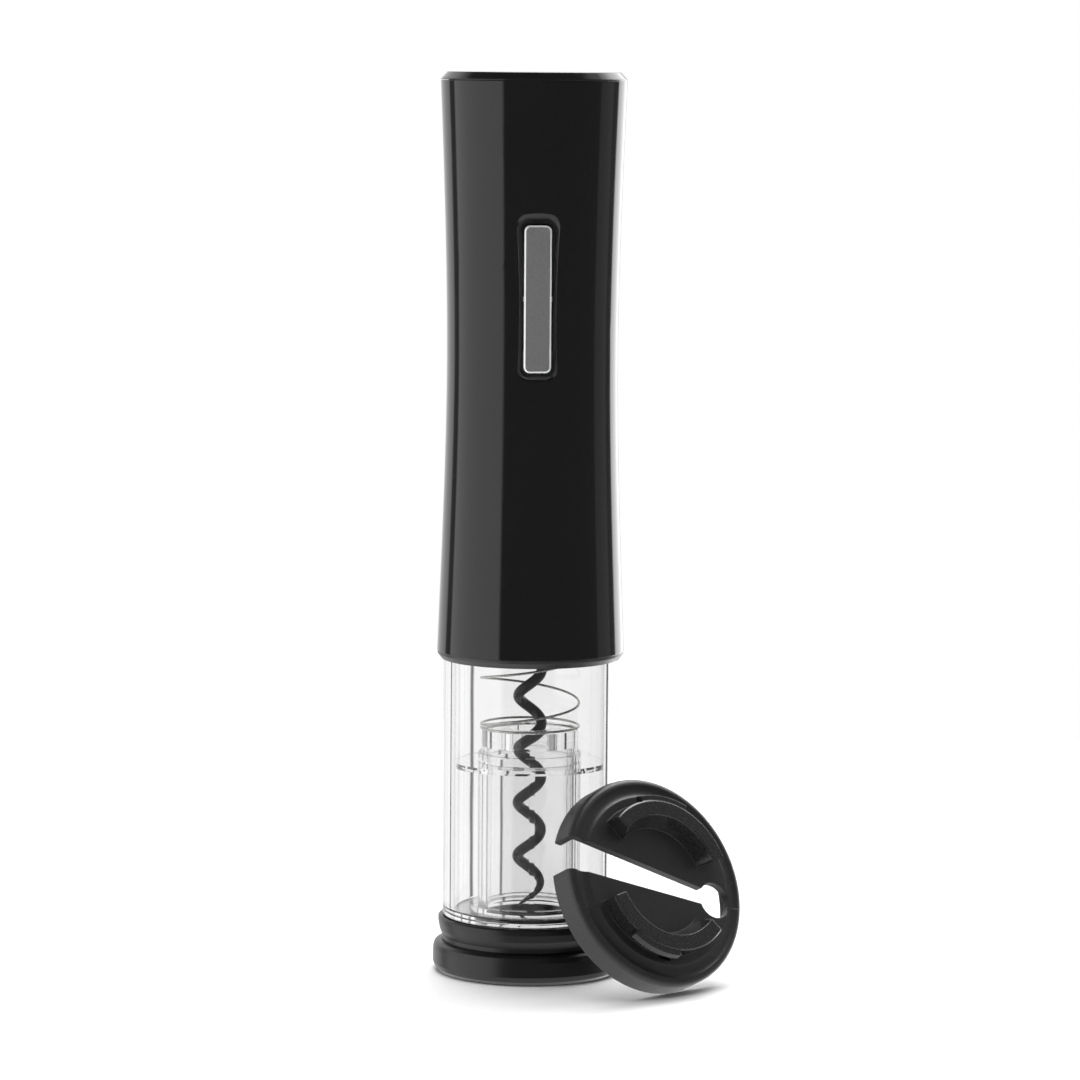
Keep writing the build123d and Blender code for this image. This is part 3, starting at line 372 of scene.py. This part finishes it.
def drawn_spring_wire():
    """Bright drawn spring steel: a tight sheen with faint drawing lines."""
    material, tree = new_material("drawn_spring_wire")
    return finished(material, tree, {
        "Base Color": blended(tree, mottle(tree, 2, 0, 1), "a5a4a0", "bdbcb8"),
        "Metallic": 1.0,
        "Roughness": mottle(tree, 0.8, 0.2, 0.3),
        "Normal": relief(tree, 0.3, 0.004),
    })


def zinc_plated_steel():
    """Zinc-plated steel: bright, slightly cloudy in patches of 2 mm."""
    material, tree = new_material("zinc_plated_steel")
    return finished(material, tree, {
        "Base Color": blended(tree, mottle(tree, 2, 0, 1), "b9bcc0", "cfd1d2"),
        "Metallic": 1.0,
        "Roughness": mottle(tree, 1.2, 0.25, 0.4),
        "Normal": relief(tree, 0.4, 0.006, edge_mm=0.1),
    })


def sintered_steel():
    """Pressed and sintered steel: grey and dull, with pores about 0.3 mm apart."""
    material, tree = new_material("sintered_steel")
    return finished(material, tree, {
        "Base Color": blended(tree, mottle(tree, 0.3, 0, 1), "5e5c59", "8b8986"),
        "Metallic": 1.0,
        "Roughness": mottle(tree, 0.4, 0.42, 0.62),
        "Normal": relief(tree, 0.3, 0.02, edge_mm=0.08),
    })


def sintered_bronze():
    """Oil-filled sintered bronze: warm, pored and slightly dark."""
    material, tree = new_material("sintered_bronze")
    return finished(material, tree, {
        "Base Color": blended(tree, mottle(tree, 0.3, 0, 1), "8a6534", "b28a50"),
        "Metallic": 1.0,
        "Roughness": mottle(tree, 0.4, 0.35, 0.5),
        "Normal": relief(tree, 0.3, 0.012, edge_mm=0.08),
    })


def rolled_motor_steel():
    """Nickel-plated rolled steel: fine lines drawn out along the can."""
    material, tree = new_material("rolled_motor_steel")
    return finished(material, tree, {
        "Base Color": blended(tree, mottle(tree, 0.5, 0, 1, stretch=(1, 1, 0.05)), "a2a4a6", "bcbdbe"),
        "Metallic": 1.0,
        "Roughness": mottle(tree, 0.6, 0.24, 0.38, stretch=(1, 1, 0.05)),
        "Normal": relief(tree, 0.4, 0.006, stretch=(1, 1, 0.05), edge_mm=0.15),
    })


def nickel_contact_strip():
    """Nickel-plated spring strip: warm, bright, lightly scuffed."""
    material, tree = new_material("nickel_contact_strip")
    return finished(material, tree, {
        "Base Color": blended(tree, mottle(tree, 1, 0, 1), "b8b4aa", "ccc9c0"),
        "Metallic": 1.0,
        "Roughness": mottle(tree, 0.5, 0.2, 0.36, stretch=(0.2, 1, 1)),
        "Normal": relief(tree, 0.5, 0.005),
    })


def ground_wheel_steel():
    """Hardened stainless cutting wheels: ground, with fine scratches about 0.2 mm apart."""
    material, tree = new_material("ground_wheel_steel")
    return finished(material, tree, {
        "Base Color": blended(tree, mottle(tree, 1, 0, 1), "b7b9bb", "d0d1d2"),
        "Metallic": 1.0,
        "Roughness": mottle(tree, 0.2, 0.16, 0.32, stretch=(0.15, 1, 1)),
        "Normal": relief(tree, 0.2, 0.004, stretch=(0.15, 1, 1), edge_mm=0.05),
    })


# ---- Electrics ----
def masked_circuit_board():
    """Glass-epoxy board under green solder mask: a weave drawn 3.1 mm apart just shows."""
    material, tree = new_material("masked_circuit_board")
    # A wave texture turns 20 radians per unit at scale 1, so its bands lie 2 pi of these apart.
    radian_mm = 0.5
    weave = add(tree, "ShaderNodeTexWave",
                {"Vector": position(tree), "Scale": 1000 / radian_mm / 20, "Distortion": 0.4},
                bands_direction="Z")
    bump = add(tree, "ShaderNodeBump", {"Height": weave.outputs["Fac"], "Distance": 0.01 * MM})
    return finished(material, tree, {
        "Base Color": blended(tree, mottle(tree, 3, 0, 1), "123f25", "1b5231"),
        "Roughness": mottle(tree, 2, 0.28, 0.4),
        "IOR": 1.55,
        "Normal": bump.outputs["Normal"],
    })


def printed_cell_sleeve():
    """Shrink sleeve on a dry cell: dark with a copper-coloured band, and bare nickel on flat ends."""
    material, tree = new_material("printed_cell_sleeve")
    split = add(tree, "ShaderNodeSeparateXYZ", {"Vector": position(tree)})
    low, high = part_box("battery_cell_1")
    band = low.z + 0.68 * (high.z - low.z)
    above = add(tree, "ShaderNodeMath", {0: split.outputs["Z"], 1: band}, operation="GREATER_THAN")
    sleeve = blended(tree, above.outputs["Value"], "202225", "a66a35")
    geometry = add(tree, "ShaderNodeNewGeometry")
    facing = add(tree, "ShaderNodeSeparateXYZ", {"Vector": geometry.outputs["Normal"]})
    steep = add(tree, "ShaderNodeMath", {0: facing.outputs["Z"]}, operation="ABSOLUTE")
    end = add(tree, "ShaderNodeMath", {0: steep.outputs["Value"], 1: 0.9}, operation="GREATER_THAN")
    return finished(material, tree, {
        "Base Color": blended(tree, end.outputs["Value"], sleeve, "c4c1b8"),
        "Metallic": end.outputs["Value"],
        "Roughness": mottle(tree, 3, 0.18, 0.28),
        "Normal": relief(tree, 3, 0.01, edge_mm=0.3),
    })


# ---- Which piece gets which finish ----
FINISHES = (
    (gloss_moulded_abs, ("front_shell", "rear_shell", "battery_cap")),
    (satin_moulded_abs, ("base_collar", "foot_ring")),
    (spark_eroded_abs, ("cutter_body", "cutter_jaw")),
    (grey_bezel_abs, ("lower_bezel",)),
    (clear_moulded_polycarbonate, ("clear_tube", "cork_guide")),
    (silver_painted_abs, ("rocker_button",)),
    (moulded_rubber, ("foot_pad",)),
    (glass_filled_nylon, ("chassis_frame", "gearbox_cover", "gearbox_housing", "battery_holder",
                          "rocker_well", "cap_contact_disc")),
    (motor_end_nylon, ("motor_end_cap",)),
    (switch_nylon, ("switch_down", "switch_up")),
    (moulded_acetal, ("carrier_1", "planet_1a", "planet_1b", "planet_1c")),
    (coated_worm_steel, ("worm",)),
    (drawn_spring_wire, ("guide_spring",)),
    (zinc_plated_steel, ("shell_screws", "gearbox_screws", "motor_mount_screws", "rocker_pin",
                         "motor_shaft")),
    (sintered_steel, ("carrier_2", "carrier_1_pins", "carrier_2_pins", "planet_2a", "planet_2b",
                      "planet_2c", "sun_pinion", "worm_chuck")),
    (sintered_bronze, ("output_bush",)),
    (rolled_motor_steel, ("motor_can", "motor_mount_plate")),
    (nickel_contact_strip, ("lower_contacts", "contact_springs", "cap_contacts", "motor_terminals")),
    (ground_wheel_steel, ("cutter_wheel_1", "cutter_wheel_2", "cutter_wheel_3", "cutter_wheel_4",
                          "cutter_body_pins", "cutter_jaw_pins")),
    (masked_circuit_board, ("switch_board",)),
    (printed_cell_sleeve, ("battery_cell_1", "battery_cell_2", "battery_cell_3", "battery_cell_4")),
)


def apply_finishes():
    """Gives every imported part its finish, and returns the finishes by part name."""
    by_part = {}
    for make, names in FINISHES:
        material = make()
        for name in names:
            by_part[name] = material
            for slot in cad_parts[name].material_slots:
                slot.material = material
    return by_part


# ---- Finer pieces ----
def turned_mesh(name, corners, segments):
    """Closed turned piece from its right-angled outline; each corner is (radius, z, rounding)."""
    outline = []
    spots = [Vector(corner[:2]) for corner in corners]
    for index, corner in enumerate(corners):
        rounding = corner[2]
        before = (spots[index - 1] - spots[index]).normalized()
        after = (spots[(index + 1) % len(spots)] - spots[index]).normalized()
        middle = spots[index] + (before + after) * rounding
        # A ring just past each end of the rounding keeps the straight walls' shading straight.
        outline.append(middle - after * rounding + before * ROUNDING_GUARD)
        for step in range(ROUNDING_STEPS + 1):
            angle = math.pi / 2 * step / ROUNDING_STEPS
            outline.append(middle - (after * math.cos(angle) + before * math.sin(angle)) * rounding)
        outline.append(middle - before * rounding + after * ROUNDING_GUARD)
    mesh = bmesh.new()
    rings = []
    for spot in outline:
        ring = []
        for k in range(segments):
            turn = 2 * math.pi * k / segments
            ring.append(mesh.verts.new((spot.x * math.cos(turn), spot.x * math.sin(turn), spot.y)))
        rings.append(ring)
    for index, ring in enumerate(rings):
        last = rings[index - 1]
        for k in range(segments):
            beside = (k + 1) % segments
            mesh.faces.new((last[k], last[beside], ring[beside], ring[k]))
    bmesh.ops.recalc_face_normals(mesh, faces=mesh.faces)
    return as_object(name, mesh)


def make_clear_tube(finish):
    """Clear tube, turned finely; a hair of air under its floor makes the floor mirror what is above."""
    low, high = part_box("clear_tube")
    bottom = low.z + TUBE_AIR_GAP
    floor = low.z + TUBE_FLOOR
    tube = turned_mesh("clear_tube_wall", (
        (BOTTLE_BORE, bottom, 0.3 * MM),
        (high.x, bottom, 0.5 * MM),
        (high.x, TUBE_SHOULDER, 0.2 * MM),
        (SPIGOT_RADIUS, TUBE_SHOULDER, 0.2 * MM),
        (SPIGOT_RADIUS, high.z, 0.2 * MM),
        (TUBE_BORE, high.z, 0.2 * MM),
        (TUBE_BORE, floor, 0.6 * MM),
        (BOTTLE_BORE, floor, 0.3 * MM),
    ), TUBE_SEGMENTS)
    tube.data.materials.append(finish)
    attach(tube, "opener")
    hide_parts("clear_tube")


def tube_mesh(name, path, radii, sides):
    """Closed round tube along a path, with its own radius at each point."""
    tangents = []
    for index in range(len(path)):
        before = path[max(index - 1, 0)]
        after = path[min(index + 1, len(path) - 1)]
        tangents.append((after - before).normalized())
    across = tangents[0].orthogonal().normalized()
    mesh = bmesh.new()
    rings = []
    turn = 2 * math.pi / sides
    for spot, tangent, radius in zip(path, tangents, radii):
        across = (across - tangent * across.dot(tangent)).normalized()
        up = tangent.cross(across)
        spokes = [across * math.cos(k * turn) + up * math.sin(k * turn) for k in range(sides)]
        rings.append([mesh.verts.new(spot + spoke * radius) for spoke in spokes])
    for lower, upper in zip(rings, rings[1:]):
        for k in range(sides):
            mesh.faces.new((lower[k], lower[(k + 1) % sides], upper[(k + 1) % sides], upper[k]))
    mesh.faces.new(list(reversed(rings[0])))
    mesh.faces.new(rings[-1])
    return as_object(name, mesh)


def as_object(name, mesh):
    """Object with smooth faces from a bmesh."""
    for face in mesh.faces:
        face.smooth = True
    data = bpy.data.meshes.new(name)
    mesh.to_mesh(data)
    mesh.free()
    piece = bpy.data.objects.new(name, data)
    bpy.context.collection.objects.link(piece)
    return piece


def make_guide_spring(finish):
    """Compression spring with a dead coil at each end, on the clear guide's boss."""
    low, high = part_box("guide_spring")
    wire = SPRING_WIRE / 2
    mean = (high.x - low.x) / 2 - wire
    open_turns = (high.z - low.z - SPRING_WIRE - 2 * SPRING_DEAD_RISE) / SPRING_PITCH
    total = open_turns + 2
    count = round(total * SPRING_STEPS_PER_TURN)
    path = []
    for index in range(count + 1):
        turns = total * index / count
        rise = SPRING_DEAD_RISE * (min(turns, 1) + max(turns - 1 - open_turns, 0))
        rise += SPRING_PITCH * min(max(turns - 1, 0), open_turns)
        angle = math.radians(SPRING_LIFT_ANGLE + 360 * (turns - 1))
        path.append(Vector((mean * math.cos(angle), mean * math.sin(angle), low.z + wire + rise)))
    spring = tube_mesh("spring_wire", path, [wire * SPRING_DRAWN] * len(path), SPRING_SIDES)
    spring.data.materials.append(finish)
    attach(spring, "guide")
    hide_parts("guide_spring")
    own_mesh(spring)


def make_worm(finish):
    """Right-handed worm: round wire that narrows to a point at its lower end."""
    low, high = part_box("worm")
    wire = WORM_WIRE / 2
    mean = (high.x - low.x) / 2 - wire
    start = low.z + WORM_LOWER_ROOM
    path = []
    radii = []
    for index in range(WORM_STEPS + 1):
        z = start + (high.z - start - WORM_UPPER_ROOM) * index / WORM_STEPS
        angle = 2 * math.pi * (z - WORM_PEAK) / WORM_PITCH
        path.append(Vector((mean * math.cos(angle), mean * math.sin(angle), z)))
        travelled = (z - start) * math.hypot(1, 2 * math.pi * mean / WORM_PITCH)
        taper = (travelled / WORM_TAPER) ** WORM_TAPER_POWER
        radii.append(wire * min(1, WORM_TIP + (1 - WORM_TIP) * taper))
    worm = tube_mesh("worm_wire", path, radii, WORM_SIDES)
    worm.data.materials.append(finish)
    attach(worm, "worm_drive")
    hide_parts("worm")


# ---- Room ----
def pale_floor():
    """Matt white-painted board: plain, with a faint 20 mm mottle."""
    material, tree = new_material("pale_floor_board")
    return finished(material, tree, {
        "Base Color": blended(tree, mottle(tree, 20, 0, 1), "f4f4f4", "f7f7f7"),
        "Roughness": 0.9,
    })


def make_floor():
    """Round floor that gloss and clear parts don't see; they see the room instead."""
    mesh = bmesh.new()
    bmesh.ops.create_circle(mesh, cap_ends=True, radius=FLOOR_RADIUS, segments=FLOOR_SEGMENTS)
    floor = as_object("floor", mesh)
    floor.data.materials.append(pale_floor())
    floor.visible_glossy = False
    floor.visible_transmission = False


def step_between(tree, value, low, high, soft):
    """1 where value is between low and high, with edges that fade over soft."""
    rise = ranged(tree, value, low - soft, low + soft)
    fall = ranged(tree, value, high - soft, high + soft, 1, 0)
    return add(tree, "ShaderNodeMath", {0: rise, 1: fall}, operation="MULTIPLY").outputs["Value"]


def in_band(tree, bearing, low, high, fade):
    """1 between two bearings from the camera's side, with edges that fade."""
    shift = math.radians(CAMERA_BEARING)
    return step_between(tree, bearing, math.radians(low) + shift, math.radians(high) + shift,
                        math.radians(fade))


def room_level(tree, direction, bearing, upward):
    """Strength in each direction: lit areas, a dim ceiling, white below, and the top box."""
    level = ROOM_DIM
    for low, high, strength in ROOM_AREAS:
        level = between(tree, in_band(tree, bearing, low, high, AREA_FADE), level, strength)
    level = between(tree, ranged(tree, upward, *CEILING_FADE), level, ROOM_CEILING)
    level = between(tree, ranged(tree, upward, *BELOW_FADE), level, ROOM_WHITE)
    along = add(tree, "ShaderNodeVectorMath", {0: direction, 1: TOP_BOX_TOWARD},
                operation="DOT_PRODUCT")
    edge, core = [math.cos(math.radians(angle)) for angle in TOP_BOX_FADE]
    return between(tree, ranged(tree, along.outputs["Value"], edge, core), level, TOP_BOX)


def level_through_clear(tree, bearing, level):
    """What is seen through clear parts: the room in front, and white with black flags behind."""
    front = step_between(tree, bearing, math.radians(-CLEAR_FRONT), math.radians(CLEAR_FRONT),
                         math.radians(AREA_FADE))
    through = between(tree, front, ROOM_WHITE, level)
    for low, high in ROOM_FLAGS:
        through = between(tree, in_band(tree, bearing, low, high, FLAG_FADE), through, FLAG_BLACK)
    return through


def light_room():
    """Studio: a white cove behind, lit areas at both sides, a soft box above, and dim elsewhere."""
    world = bpy.data.worlds.new("studio")
    world.use_nodes = True
    tree = world.node_tree
    tree.nodes.clear()
    direction = add(tree, "ShaderNodeTexCoord").outputs["Generated"]
    split = add(tree, "ShaderNodeSeparateXYZ", {"Vector": direction})
    toward = add(tree, "ShaderNodeMath", {0: split.outputs["Y"], 1: -1.0}, operation="MULTIPLY")
    turned = add(tree, "ShaderNodeMath", {0: split.outputs["X"], 1: toward.outputs["Value"]},
                 operation="ARCTAN2")
    bearing = turned.outputs["Value"]
    level = room_level(tree, direction, bearing, split.outputs["Z"])
    through = level_through_clear(tree, bearing, level)
    ray = add(tree, "ShaderNodeLightPath")
    level = between(tree, ray.outputs["Is Transmission Ray"], level, through)
    strength = between(tree, ray.outputs["Is Camera Ray"], level, ROOM_WHITE)
    background = add(tree, "ShaderNodeBackground", {"Color": srgb("ffffff"), "Strength": strength})
    add(tree, "ShaderNodeOutputWorld", {"Surface": background.outputs["Background"]})
    bpy.context.scene.world = world


def light_from_above():
    """Soft light over the object, facing straight down."""
    light = bpy.data.lights.new("overhead", "AREA")
    light.shape = "RECTANGLE"
    light.size = OVERHEAD_SIZE
    light.size_y = OVERHEAD_SIZE
    light.energy = OVERHEAD_POWER
    lamp = bpy.data.objects.new("overhead", light)
    lamp.visible_glossy = False
    lamp.visible_camera = False
    lamp.location = (0, 0, OVERHEAD_HEIGHT)
    bpy.context.collection.objects.link(lamp)


def make_camera():
    """Long lens in front of the object, just above the height of its top, looking slightly down."""
    camera = bpy.data.objects.new("camera", bpy.data.cameras.new("camera"))
    camera.data.lens = CAMERA_LENS
    camera.data.sensor_width = CAMERA_SENSOR
    bearing = math.radians(CAMERA_BEARING)
    place = Vector((math.sin(bearing) * CAMERA_DISTANCE, -math.cos(bearing) * CAMERA_DISTANCE,
                    CAMERA_HEIGHT))
    turn = Matrix.Rotation(math.radians(CAMERA_BEARING + CAMERA_YAW), 4, "Z")
    tilt = Matrix.Rotation(math.radians(90 + CAMERA_PITCH), 4, "X")
    roll = Matrix.Rotation(math.radians(CAMERA_ROLL), 4, "Z")
    camera.matrix_world = Matrix.Translation(place) @ turn @ tilt @ roll
    bpy.context.collection.objects.link(camera)
    bpy.context.scene.camera = camera


bpy.context.scene.view_settings.view_transform = "Standard"
finishes = apply_finishes()
make_guide_spring(finishes["guide_spring"])
make_worm(finishes["worm"])
make_clear_tube(finishes["clear_tube"])
make_floor()
light_room()
light_from_above()
make_camera()
